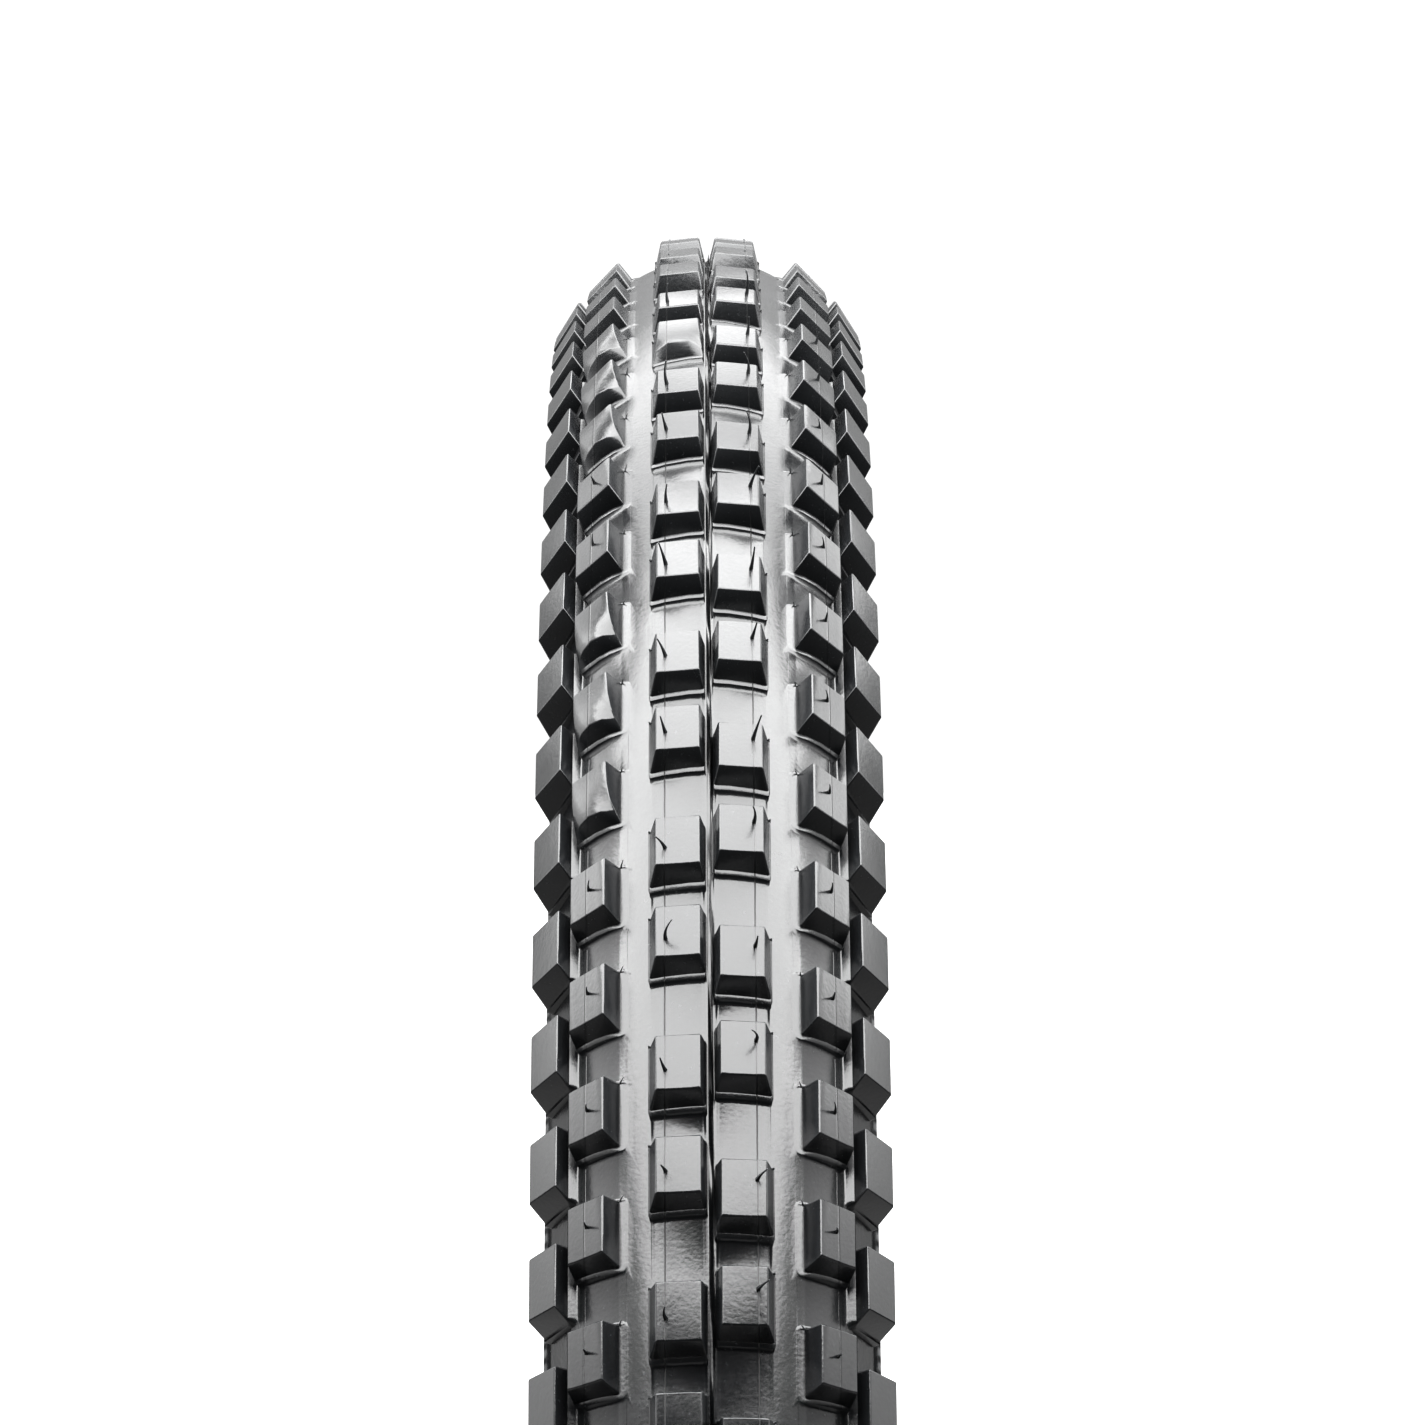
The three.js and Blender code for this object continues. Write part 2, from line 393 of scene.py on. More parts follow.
def serrations(finish):
    """Height of the fine radial ribs in a band round the sidewall, from -1 to 1."""
    split = finish.add("ShaderNodeSeparateXYZ")
    finish.link(finish.position, split.inputs[0])
    x, _, z = split.outputs
    turn = finish.math("MULTIPLY", finish.math("ARCTAN2", z, x), SERRATIONS)
    inside, outside = SERRATED_BAND
    middle, half = (outside + inside) / 2, (outside - inside) / 2
    away = finish.math("ABSOLUTE", finish.math("SUBTRACT", axis_distance(finish), middle))
    band = finish.remap(away, half - 0.2, half, 1.0, 0.0)
    return finish.math("MULTIPLY", finish.math("SINE", turn), band)


def tread_rubber():
    """Black moulded rubber: fine grain, faint bloom, thin mould lines and a painted highlight
    along the knobs' edges.
    """
    black, bloomed = (0.0045, 0.0050, 0.0056), (0.009, 0.0098, 0.0106)
    dust, highlight_grey, line_black = (0.035, 0.037, 0.039), (0.05, 0.053, 0.056), (0.004, 0.004, 0.004)
    finish = Finish("tread rubber")
    grain = finish.noise(1.9, 1, 0.5)
    cloud = finish.noise(0.09, 5, 0.6)
    fleck = finish.noise(2.2, 2, 0.5)
    edge_highlight = finish.add("ShaderNodeAttribute", attribute_name="edge_highlight").outputs["Fac"]
    lines = finish.math("MULTIPLY", line_mask(finish, MOULD_LINE, 0.09), below_tops(finish))
    bloom = finish.remap(cloud, 0.35, 0.75, 0, 1)
    colour = finish.blend(bloom, black, bloomed)
    colour = finish.blend(finish.remap(fleck, 0.66, 0.74, 0, 0.6), colour, dust)
    # Painted highlight: the colour is lightened along the knobs' top edges and the plinths'
    # shoulders, where light catches them.
    colour = finish.blend(finish.math("MULTIPLY", edge_highlight, 0.35), colour, highlight_grey)
    colour = finish.blend(lines, colour, line_black)
    rough = finish.remap(finish.math("ADD", bloom, grain), 0.3, 1.6, 0.19, 0.28)
    rough = finish.math("ADD", rough, finish.math("MULTIPLY", lines, 0.3))
    relief = finish.bump(finish.noise(0.45, 2, 0.4), 0.016)
    relief = finish.bump(grain, 0.016, relief)
    relief = finish.bump(finish.math("MULTIPLY", lines, -1.0), 0.08, relief)
    relief = finish.bump(line_mask(finish, KNOB_RIDGE, 0.11), 0.07, relief)
    finish.set(Base_Color=colour, Roughness=rough, Normal=relief)
    finish.set(Specular_IOR_Level=0.68)
    return finish.material


def hair_rubber():
    """The thin vent hairs: the same rubber, but lighter and duller."""
    finish = Finish("vent hair rubber")
    colour = finish.blend(finish.noise(3), (0.010, 0.011, 0.012), (0.03, 0.032, 0.034))
    finish.set(Base_Color=colour, Roughness=finish.remap(finish.noise(6), 0, 1, 0.4, 0.6))
    finish.set(Normal=finish.bump(finish.noise(7), 0.02))
    return finish.material


def sidewall_rubber():
    """Duller rubber with a dusty bloom and a band of fine radial ribs."""
    finish = Finish("sidewall rubber")
    cloud = finish.noise(0.06, 6, 0.62)
    grain = finish.noise(4, 3, 0.6)
    bloom = finish.remap(cloud, 0.4, 0.75, 0, 1)
    colour = finish.blend(bloom, (0.018, 0.0192, 0.0208), (0.036, 0.0375, 0.039))
    rough = finish.remap(finish.math("ADD", bloom, grain), 0.3, 1.6, 0.38, 0.56)
    relief = finish.bump(finish.noise(0.25, 4, 0.5), 0.06)
    relief = finish.bump(grain, 0.02, relief)
    relief = finish.bump(serrations(finish), 0.16, relief)
    finish.set(Base_Color=colour, Roughness=rough, Normal=relief)
    finish.set(Specular_IOR_Level=0.55)
    return finish.material


def cord_fabric(name, dark, light, threads_round, thread_mm, plain_weave, depth_mm):
    """Rubberised fabric whose cords run slantwise; both ways if it is a plain weave."""
    finish = Finish(name)
    layup = finish.add("ShaderNodeUVMap", uv_map="layup")
    split = finish.add("ShaderNodeSeparateXYZ")
    finish.link(layup.outputs[0], split.inputs[0])
    across = finish.math("MULTIPLY", split.outputs[0], TURN / (thread_mm * MM))
    along = finish.math("MULTIPLY", split.outputs[1], TURN * threads_round)
    ways = (1, -1) if plain_weave else (1,)
    height = None
    for way in ways:
        phase = finish.math("ADD", finish.math("MULTIPLY", across, way), along)
        cord = finish.math("ABSOLUTE", finish.math("SINE", finish.math("MULTIPLY", phase, 0.5)))
        height = cord if height is None else finish.math("MULTIPLY", height, cord)
    fluff = finish.noise(1.2, 4, 0.6)
    shade = finish.math("MULTIPLY", height, finish.remap(fluff, 0.3, 0.8, 0.5, 1.0))
    finish.set(Base_Color=finish.blend(shade, dark, light))
    finish.set(Roughness=finish.remap(fluff, 0.2, 0.8, 0.55, 0.8))
    relief = finish.bump(finish.noise(4, 3), 0.02)
    finish.set(Normal=finish.bump(height, depth_mm, relief))
    finish.set(Specular_IOR_Level=0.4)
    return finish.material


def filler_rubber():
    """Dull, slightly brown hard rubber."""
    finish = Finish("filler rubber")
    colour = finish.blend(finish.noise(0.4, 4), (0.020, 0.018, 0.016), (0.04, 0.036, 0.032))
    finish.set(Base_Color=colour, Roughness=finish.remap(finish.noise(2), 0, 1, 0.55, 0.75))
    finish.set(Normal=finish.bump(finish.noise(3), 0.03))
    return finish.material


def bead_steel():
    """Drawn, bronze-coated steel wire."""
    finish = Finish("bead steel")
    streak = finish.noise(0.8, 6, 0.7)
    colour = finish.blend(streak, (0.50, 0.42, 0.30), (0.66, 0.60, 0.50))
    finish.set(Base_Color=colour, Roughness=finish.remap(streak, 0.2, 0.8, 0.25, 0.45))
    finish.set(Normal=finish.bump(finish.noise(5, 4), 0.01), Metallic=1.0)
    return finish.material


# ---- the tread ----------------------------------------------------------------------------

# Each knob is a block with slanted walls that stands on a low plinth. From its foot to its
# top it has six closed outlines, one inside the other, and the levels are numbered:
FOOT, SHOULDER, LEDGE, WALL_FOOT, WALL_TOP, TOP = range(6)
EDGE = 0.2  # width of the rounded edge along the top of a knob
KNOB_HEIGHT = 3.2  # of a typical knob above its plinth
BULGE = 0.05  # of the plinth's ledge, at the middle of its width
SIDE_BANK = 0.2  # width of the plinth's own slope along both sides of a knob
OUTER_SHELF = 0.15  # width of its ledge along a knob's outer side
WALL_CORNER = 0.25  # radius of the corners between a knob's walls
HEIGHT_SPREAD = 0.03  # how much the knobs differ in height
CREASES = (SHOULDER, WALL_FOOT)  # outlines that are sharp corners
EDGE_HIGHLIGHT = {WALL_TOP: 0.7, SHOULDER: 0.25}  # how much painted highlight an outline gets, from 0 to 1

# inner, outer: the foot, shoulder and wall foot as (radius, degrees from the crown)
# inner_top, outer_top: corners of the top, as section points
# length: of the top, along the tyre
# flare: how far the foot lies in front of and behind the top; then of that, in front and
# behind, shelf: the width of the plinth's ledge, and bank: the plinth's own slope
# corner: radius of the plinth's corners
# places: knob centres within one pitch on the left and on the right half, in radians
# across: where the top's inner grid lines lie, as shares of its width
# hair: the vent hair on the top, with its place as a share of the top's width and as mm
# behind the knob's middle, its length, and the range of its tilt from the centre plane
CENTRE_ROW = dict(
    inner=((21.0, 1.2), (21.75, 1.45), (21.9, 1.6)), inner_top=(1.2, TREAD_RADIUS),
    outer=((21.0, 21.5), (21.75, 21.2), (21.9, 20.6)), outer_top=(7.0, 248.0),
    length=7.8, flare=(2.4, 0.6), shelf=(0.6, 0.2), bank=(0.5, 0.15), corner=0.35,
    places=dict(left=(-0.0289, 0.0289), right=(PITCH / 2 - 0.0289, PITCH / 2 + 0.0289)),
    across=(0.25, 0.75),
    hair=dict(share=0.8, behind=dict(left=-1.1, right=0.9), length=3.3, tilt=(-0.12, 0.1)),
)
INNER_ROW = dict(
    inner=((21.0, 29.6), (21.1, 30.1), (21.35, 32.6)), inner_top=(13.6, 244.75),
    outer=((21.0, 52.4), (21.75, 52.2), (21.9, 51.8)), outer_top=(18.1, 240.1),
    length=7.7, flare=(2.28, 0.75), shelf=(0.6, 0.3), bank=(0.5, 0.22), corner=0.9,
    places=dict(left=(0.0135, 0.0135 + PITCH / 2), right=(0.0135, 0.0135 + PITCH / 2)),
    across=(0.2, 0.5, 0.8),
    hair=dict(share=0.46, behind=dict(left=0.3, right=0.3), length=1.7, tilt=(-0.65, -0.4)),
)
OUTER_ROW = dict(
    inner=((21.0, 52.95), (21.2, 53.3), (22.08, 54.7)), inner_top=(19.6, 238.85),
    outer=((21.0, 76.5), (21.8, 76.1), (21.8, 75.6)), outer_top=(23.1, 233.3),
    length=8.5, flare=(1.7, 0.6), shelf=(0.4, 0.2), bank=(0.2, 0.15), corner=0.5,
    places=dict(left=(-0.005, -0.005 + PITCH / 2), right=(-0.005, -0.005 + PITCH / 2)),
    across=(),
)
ROWS = dict(centre=CENTRE_ROW, inner=INNER_ROW, outer=OUTER_ROW)

DOME_ALONG = (0.2, 0.5)  # lines along an unfilled top, as shares of its length

# Knobs whose mould corner the rubber didn't quite fill, by row, side and number round.
UNFILLED = {
    ("inner", "left"): {11, 12, 13, 16, 17, 18},
    ("centre", "left"): {18},
}


class Line:
    """A straight side-to-side line of a knob, between two section points."""

    def __init__(self, start, end):
        self.start, self.end = start, end
        self.width = distance(start, end)

    def at(self, along):
        """The point this many millimetres from the inner end."""
        return mix(self.start, self.end, along / self.width)


class Curve:
    """A side-to-side line along the tyre's round section, between (radius, degrees) ends."""

    def __init__(self, start, end):
        self.start, self.end = start, end
        self.width = math.radians(end[1] - start[1]) * (start[0] + end[0]) / 2

    def at(self, along):
        """The point this many millimetres from the inner end. Its radius changes early on."""
        share = along / self.width
        settled = 1 - (1 - share) ** 4
        radius = self.start[0] + (self.end[0] - self.start[0]) * settled
        return polar(radius, self.start[1] + (self.end[1] - self.start[1]) * share)


def knob_spans(row):
    """The side-to-side line of each of a knob's six outlines."""
    foot, shoulder, wall_foot = zip(row["inner"], row["outer"])
    ledge = [mix(a, b, 0.5) for a, b in zip(shoulder, wall_foot)]
    ledge = [(radius + BULGE, degrees) for radius, degrees in ledge]
    tops = [row["inner_top"], row["outer_top"]]
    walls = [polar(*end) for end in wall_foot]
    below = [mix(top, base, EDGE / distance(top, base)) for top, base in zip(tops, walls)]
    inset = EDGE / distance(*tops)
    curves = [Curve(*ends) for ends in (foot, shoulder, ledge, wall_foot)]
    return curves + [Line(*below), Line(mix(*tops, inset), mix(*tops, 1 - inset))]


def knob_ends(row):
    """For front and back: how far each outline lies from the knob's middle, in mm."""
    half = row["length"] / 2
    ends = []
    for flare, bank, shelf in zip(row["flare"], row["bank"], row["shelf"]):
        foot = half + flare
        shoulder, wall = foot - bank, foot - bank - shelf
        wall_top = half + (wall - half) * EDGE / KNOB_HEIGHT
        ends.append((foot, shoulder, (shoulder + wall) / 2, wall, wall_top, half - EDGE))
    return ends


def grid_lines(banks, shelves, shares):
    """The lines of a knob's grid in one direction, as (level, share), and both insets."""
    def insets(bank, shelf):
        steps = (bank, shelf / 2, shelf / 2, EDGE, EDGE)
        return [sum(steps[:k]) for k in range(6)]

    lines = [(level, 0.0) for level in range(6)]
    lines += [(TOP, share) for share in shares]
    lines += [(level, 1.0) for level in reversed(range(6))]
    return lines, *(insets(bank, shelf) for bank, shelf in zip(banks, shelves))


def station(line, level, width, first, last):
    """Where a grid line crosses an outline that is this wide, from its first end, in mm."""
    own, share = line
    near = first[own] - first[level]
    far = width - (last[own] - last[level])
    return near + (far - near) * share


def round_corner(a, b, radius):
    """Moves a point of an outline, a and b from the sides at its nearest corner."""
    def inset(along):
        reach = max(radius - along, 0)
        return radius - math.sqrt(radius ** 2 - reach ** 2)

    if a == 0 and b == 0:
        both = radius * (1 - math.sqrt(0.5))
        return both, both
    if a == 0:
        return inset(b), b
    if b == 0:
        return a, inset(a)
    return a, b


def unfilled_drop(across, along):
    """How much lower an unfilled top lies: most at its front corners. Shares from 0 to 1."""
    front_drop, side_drop, middle_share = 1.7, 0.15, 0.15
    arch = abs(2 * across - 1) ** 2.2
    front = front_drop * (1 - along) ** 3 * (middle_share + (1 - middle_share) * arch)
    return front + side_drop * (1 - along) * arch


class KnobRow:
    """One ring of knobs on one half of the tyre, with the strip of base between them."""

    def __init__(self, skin, name, side, chance):
        self.skin, self.row, self.side, self.chance = skin, ROWS[name], side, chance
        self.sign = -1 if side == "left" else 1
        self.spans = knob_spans(self.row)
        self.ends = knob_ends(self.row)
        shoulder, wall_foot = (polar(*end) for end in self.row["inner"][1:])
        shelves = distance(shoulder, wall_foot), OUTER_SHELF
        self.across = grid_lines((SIDE_BANK, SIDE_BANK), shelves, self.row["across"])
        bank, shelf = self.row["bank"], self.row["shelf"]
        self.along = grid_lines(bank, shelf, ())
        self.domed_along = grid_lines(bank, shelf, DOME_ALONG)
        self.middle = (self.row["inner_top"][1] + self.row["outer_top"][1]) / 2
        self.unfilled = UNFILLED.get((name, side), set())
        self.inner_edge, self.outer_edge = self.build()

    def centres(self):
        turn = 0 if self.side == "left" else RIGHT_HALF_TURN
        places = self.row["places"][self.side]
        return [k * PITCH + place + turn for k in range(PITCHES) for place in places]

    def corner_radius(self, level):
        return self.row["corner"] if level < WALL_FOOT else WALL_CORNER

    def point(self, u, v, unfilled):
        """One crossing of the grid: section point, distance along the tyre and level."""
        lines_u, first_u, last_u = self.across
        lines_v, first_v, last_v = self.domed_along if unfilled else self.along
        level = min(lines_u[u][0], lines_v[v][0])
        span = self.spans[level]
        front, back = (end[level] for end in self.ends)
        length = front + back
        x = station(lines_u[u], level, span.width, first_u, last_u)
        z = station(lines_v[v], level, length, first_v, last_v)
        a, b = min(x, span.width - x), min(z, length - z)
        a2, b2 = round_corner(round(a, 6), round(b, 6), self.corner_radius(level))
        share_x, share_z = x / span.width, z / length
        x = a2 if x < span.width / 2 else span.width - a2
        z = b2 if z < length / 2 else length - b2
        y, r = span.at(x)
        if unfilled and level >= WALL_TOP:
            low_y, low_r = self.spans[WALL_FOOT].at(self.spans[WALL_FOOT].width * share_x)
            height = distance((y, r), (low_y, low_r))
            y, r = mix((y, r), (low_y, low_r), unfilled_drop(share_x, share_z) / height)
        return (y, r), z - front, level

    def shape(self, unfilled):
        """A knob's grid, as one list of points for each of its lines across."""
        stations = self.domed_along[0] if unfilled else self.along[0]
        columns = range(len(self.across[0]))
        return [[self.point(u, v, unfilled) for u in columns] for v in range(len(stations))]

    def add_knob(self, centre, shape):
        """The knob's vertices as (angle, index), in one list for each line across."""
        extra = self.chance.gauss(0, HEIGHT_SPREAD)
        knob = len(self.skin.vertices)
        lines = []
        for points in shape:
            lines.append([])
            for (y, r), along, level in points:
                height = extra if level >= WALL_TOP else 0.0
                theta = centre + along / self.middle
                index = self.skin.vertex((self.sign * y, r + height), theta, EDGE_HIGHLIGHT.get(level, 0.0))
                lines[-1].append((theta, index))
                if level in CREASES:
                    self.skin.outlines[index] = (knob, level)
        return lines

    def build(self):
        """The knobs and the base between them. Returns the row's inner and outer edge."""
        shapes = {unfilled: self.shape(unfilled) for unfilled in (False, True)}
        lines = []
        for number, centre in enumerate(self.centres()):
            lines += self.add_knob(centre, shapes[number in self.unfilled])
        for here, there in zip(lines, lines[1:] + lines[:1]):
            for u in range(len(here) - 1):
                self.quad(here[u], here[u + 1], there[u + 1], there[u])
        return [line[0] for line in lines], [line[-1] for line in lines]

    def quad(self, *corners):
        """Two triangles over four vertices, each given as (angle, index)."""
        faces = self.skin.faces
        a, b, c, d = (index for _, index in corners)
        faces.append((a, b, c))
        faces.append((a, c, d))


def parting_rings(skin, chance):
    """The mould's parting line round the crown: a thin groove beside a ragged flash."""
    section = (  # y, height above the base, and how ragged the ring is
        (-0.38, 0, 0), (-0.32, 0, 0), (-0.26, -0.5, 0.2), (0.08, -0.5, 0.2),
        (0.14, 0, 0.2), (0.19, 0.06, 0.5), (0.25, 0.06, 0.5), (0.34, -0.1, 0.2),
    )
    rings = []
    for y, rise, ragged in section:
        base = SECTION_CENTRE + math.sqrt(SECTION_RADIUS ** 2 - y ** 2)
        ring = []
        for k in range(SEGMENTS):
            theta = TURN * k / SEGMENTS
            height = rise + ragged * (chance.random() ** 2 * 2 - 0.3)
            sideways = ragged * (chance.random() - 0.5) * 0.4
            ring.append((theta, skin.vertex((y + sideways, base + height), theta)))
        rings.append(ring)
    return rings


def valley_rings(skin, sign, angles):
    """Rings on the smooth base between the centre blocks and the inner knobs."""
    points = [polar(SECTION_RADIUS, degrees) for degrees in angles]
    return [skin.loop((sign * y, r), SEGMENTS) for y, r in points]


def lining_path():
    """The tread's edges and inside, from under the right-hand knobs to the left-hand ones."""
    inside = OUTER_PLY_RADIUS + PLY / 2 + GAP
    above_breaker = BREAKER_RADIUS + PLY / 2 + GAP
    step_out = BREAKER_REACH + 1.5
    path = [
        polar(SECTION_RADIUS, 79), polar(SECTION_RADIUS, TREAD_EDGE - 0.3),
        polar(SECTION_RADIUS - 0.15, TREAD_EDGE), polar(inside, TREAD_EDGE),
        *arc(inside, TREAD_EDGE - 6, step_out + 2, 8), *arc(above_breaker, step_out, 0, 12),
    ]
    return path + mirrored(path)[1:]


def mark_creases(data, outlines):
    """Makes an edge sharp where both its ends lie on the same sharp outline of a knob."""
    for edge in data.edges:
        outline, other = (outlines.get(index) for index in edge.vertices)
        if outline is not None and outline == other:
            edge.use_edge_sharp = True


def tread():
    """The tread: one closed strip of rubber, its knobs outside and a smooth lining inside."""
    chance = random.Random(SEED)
    skin = Skin()
    left = [KnobRow(skin, name, "left", chance) for name in ("outer", "inner", "centre")]
    right = [KnobRow(skin, name, "right", chance) for name in ("centre", "inner", "outer")]
    valley = (24.2, 27.2)
    valley_left = valley_rings(skin, -1, valley[::-1])
    crown = parting_rings(skin, chance)
    valley_right = valley_rings(skin, 1, valley)
    lining = [skin.loop(point, SEGMENTS // 2) for point in lining_path()]

    edges = [[row.outer_edge, row.inner_edge] for row in left]
    edges += [[row.inner_edge, row.outer_edge] for row in right]
    rings = [
        *edges[0], *edges[1], *valley_left, *edges[2], *crown,
        *edges[3], *valley_right, *edges[4], *edges[5], *lining,
    ]
    for here, there in zip(rings, rings[1:] + rings[:1]):
        if [here, there] not in edges:  # the knobs themselves lie between a row's two edges
            skin.zip(here, there)
    piece = add_piece(skin.mesh("tread_strip"), RUBBER, 58, ["tread"])
    mark_creases(piece.data, skin.outlines)
    weights = piece.modifiers.new("edges", "WEIGHTED_NORMAL")
    weights.mode = "FACE_AREA"
    weights.keep_sharp = True
    weights.weight = 80
    return left + right


# ---- vent hairs ---------------------------------------------------------------------------


class Hairs:
    """Thin tapered rubber hairs left by the mould's vents."""

    SIDES = 5
    SUNK = 0.15  # how deep a hair's foot lies in the rubber
    TIP = 0.3  # thickness of a hair's tip, as a share of its foot's

    def __init__(self):
        self.vertices, self.faces = [], []

    def add(self, foot, theta, length, thick, lean, curl, rings=6):
        """A hair from a section point. lean: tilt across and along; curl: bend at its tip."""
        radial = Vector((math.cos(theta), 0, math.sin(theta)))
        tangent = Vector((-math.sin(theta), 0, math.cos(theta)))
        axle = Vector((0, 1, 0))
        root = radial * foot[1] + axle * foot[0]
        outward = (radial * (foot[1] - SECTION_CENTRE) + axle * foot[0]).normalized()
        side = tangent.cross(outward).normalized()
        first = len(self.vertices)
        for k in range(rings):
            t = k / (rings - 1)
            centre = root + outward * (length * t * (1 - 0.25 * abs(curl) * t) - self.SUNK)
            centre += side * (length * (lean[0] * t + curl * t * t))
            centre += tangent * (length * (lean[1] * t + 0.2 * curl * t * t))
            radius = thick / 2 * (self.TIP + (1 - self.TIP) * (1 - t) ** 1.6)
            for j in range(self.SIDES):
                a = TURN * j / self.SIDES
                spot = centre + (side * math.cos(a) + tangent * math.sin(a)) * radius
                self.vertices.append(tuple(spot * MM))
        for k in range(rings - 1):
            for j in range(self.SIDES):
                a = first + k * self.SIDES + j
                b = first + k * self.SIDES + (j + 1) % self.SIDES
                self.faces.append((a, b, b + self.SIDES, a + self.SIDES))
        self.faces.append(tuple(first + j for j in reversed(range(self.SIDES))))
        tip = first + (rings - 1) * self.SIDES
        self.faces.append(tuple(tip + j for j in range(self.SIDES)))


TRIMMED = (74, 102)  # degrees round the tyre between which the hairs are cut short
TRIMMED_SHARE = 0.1  # how much of a hair's length is left there
TRIMMED_NIB_SHARE = 0.15
HAIR_THICKNESS = 0.62
STUB = 0.35  # length of the hair on an unfilled top
STUB_SINK = 0.5  # how much lower it starts
BLOCK_NIB = 0.55  # length and thickness of the nib on a centre block's plinth
KNOB_NIB = 0.42  # thickness of the nib on an inner knob's plinth
SIDEWALL_NIB = 0.5  # thickness of the nibs on the sidewalls
NIB_INSET = 0.15  # from a nib to the edge of the plinth


def knob_hairs(hairs, row, number, middle, chance):
    """The hair on one knob's top, and the nib behind it on a corner of its plinth."""
    hair, top = row.row["hair"], row.spans[TOP]
    y, r = top.at(top.width * hair["share"])
    theta = middle + (hair["behind"][row.side] + chance.gauss(0, 0.15)) / row.middle
    length = hair["length"] * chance.uniform(0.75, 1.2)
    trimmed = TRIMMED[0] < math.degrees(theta) % 360 < TRIMMED[1]
    if trimmed:
        length *= TRIMMED_SHARE
    if number in row.unfilled:
        length = STUB
        r -= STUB_SINK
    lean = (row.sign * chance.uniform(*hair["tilt"]), chance.uniform(-0.1, 0.25))
    curl = row.sign * chance.uniform(-0.45, 0.25)
    hairs.add((row.sign * y, r), theta, length, HAIR_THICKNESS, lean, curl)

    centre_row = row.row is CENTRE_ROW
    level = SHOULDER if centre_row else WALL_FOOT
    corner = row.spans[level]
    theta = middle + (row.ends[1][level] - NIB_INSET) / row.middle
    if centre_row:
        y, r = corner.at(corner.width - NIB_INSET)
        hairs.add((row.sign * y, r), theta, BLOCK_NIB, BLOCK_NIB, (0, 0), 0, 3)
    else:
        y, r = corner.at(0.1)
        lean = (-row.sign * chance.uniform(0.8, 1.4), chance.uniform(0.2, 0.6))
        length = chance.uniform(0.5, 0.9) * (TRIMMED_NIB_SHARE if trimmed else 1)
        hairs.add((row.sign * y, r), theta, length, KNOB_NIB, lean, 0.1, 4)


def sidewall_nibs(hairs, chance):
    """One short nib to a pitch, half way down each sidewall."""
    y, r = polar(20.4, 108)
    for sign, shift in ((-1, 0.0), (1, 0.4)):
        for number in range(PITCHES):
            theta = (number + shift) * PITCH + chance.gauss(0, 0.002)
            lean = (chance.uniform(-0.2, 0.2), chance.uniform(-0.2, 0.2))
            length = chance.uniform(0.5, 1.1)
            hairs.add((sign * y, r), theta, length, SIDEWALL_NIB, lean, 0.1, 4)


def vent_hairs(rows):
    """Hairs and nibs on the centre and inner knobs, and nibs on the sidewalls."""
    chance = random.Random(SEED + 1)
    hairs = Hairs()
    for row in rows:
        if "hair" in row.row:
            for number, middle in enumerate(row.centres()):
                knob_hairs(hairs, row, number, middle, chance)
    sidewall_nibs(hairs, chance)
    data = bpy.data.meshes.new("vent_hairs")
    data.from_pydata(hairs.vertices, [], hairs.faces)
    add_piece(data, HAIR)


# ---- sidewalls, beads and the layers inside -------------------------------------------------

# Ribs round the sidewall, by degrees from the crown: height in mm and half width in degrees.
RIBS = {
    87.5: (0.35, 0.9), 90.5: (0.25, 0.5), 112.0: (0.3, 0.5), 124.0: (0.4, 0.7),
    127.5: (0.4, 0.7),
}
RIM_FLANK = 120  # degrees from the crown below which the sidewall meets the rim
SIDEWALL_FOOT = 135


def sidewall_radius(degrees):
    """Outside of the sidewall: full under the tread, thin in the middle, thick by the rim."""
    rise = 0.0
    for place, (height, half) in RIBS.items():
        share = 1.6 * (1 - abs(degrees - place) / half)
        rise = max(rise, height * max(0.0, min(1.0, share)))
    if degrees < RIM_FLANK:
        wave = math.sin(math.radians((degrees - SIDEWALL_TOP) * 2.5))
        return SECTION_RADIUS - 0.675 * wave ** 2 + rise
    return 20.32 + 0.48 * (degrees - RIM_FLANK) / (SIDEWALL_FOOT - RIM_FLANK) + rise


def sidewall_outline():
    """The sidewall rubber, with its ribs, on the right-hand side."""
    inside = OUTER_PLY_RADIUS + PLY / 2 + GAP
    fine, coarse = 0.3, 1.5  # steps of the outline, near a rib and elsewhere
    outer = []
    a = SIDEWALL_TOP
    while a <= SIDEWALL_FOOT + 0.01:
        outer.append(polar(sidewall_radius(a), a))
        near = any(abs(a + fine - place) < half + 0.5 for place, (_, half) in RIBS.items())
        a += fine if near else coarse
    inner = arc(inside, SIDEWALL_TOP, RIM_FLANK, 4)
    inner += [polar(inside + 0.3, 128), polar(inside + 0.6, SIDEWALL_FOOT)]
    return inner + outer[::-1]


def chafer_outline():
    """The woven strip folded round the bead."""
    path = [
        at_bead(-0.81, 3.12), at_bead(-2.2, 1.9), at_bead(-2.2, -2.2),
        at_bead(2.75, -2.2), at_bead(2.75, 1.87), at_bead(3.88, 4.06),
    ]
    return sheet(rounded(path, 0.7, 4), PLY)


def inner_ply_outline():
    """The inner casing layer, folded up round both bead wires."""
    path = arc(INNER_PLY_RADIUS, 0, RIM_FLANK, 4) + [
        polar(INNER_PLY_RADIUS, 128), polar(INNER_PLY_RADIUS, SIDEWALL_FOOT),
        at_bead(-1.65, 1.65), at_bead(-1.65, -1.65), at_bead(1.65, -1.65),
        at_bead(1.65, 2.13), at_bead(3.02, 4.8),
    ]
    return sheet(both_sides(rounded(path, 0.5, 3)), PLY)


def outer_ply_outline():
    """The outer casing layer, which ends outside the bead wires."""
    foot = polar(OUTER_PLY_RADIUS + PLY + GAP + 0.05, SIDEWALL_FOOT)
    path = arc(OUTER_PLY_RADIUS, 0, RIM_FLANK, 4)
    path += [foot, at_bead(2.2, 2), at_bead(2.2, -1.65)]
    return sheet(both_sides(rounded(path, 0.5, 3)), PLY)


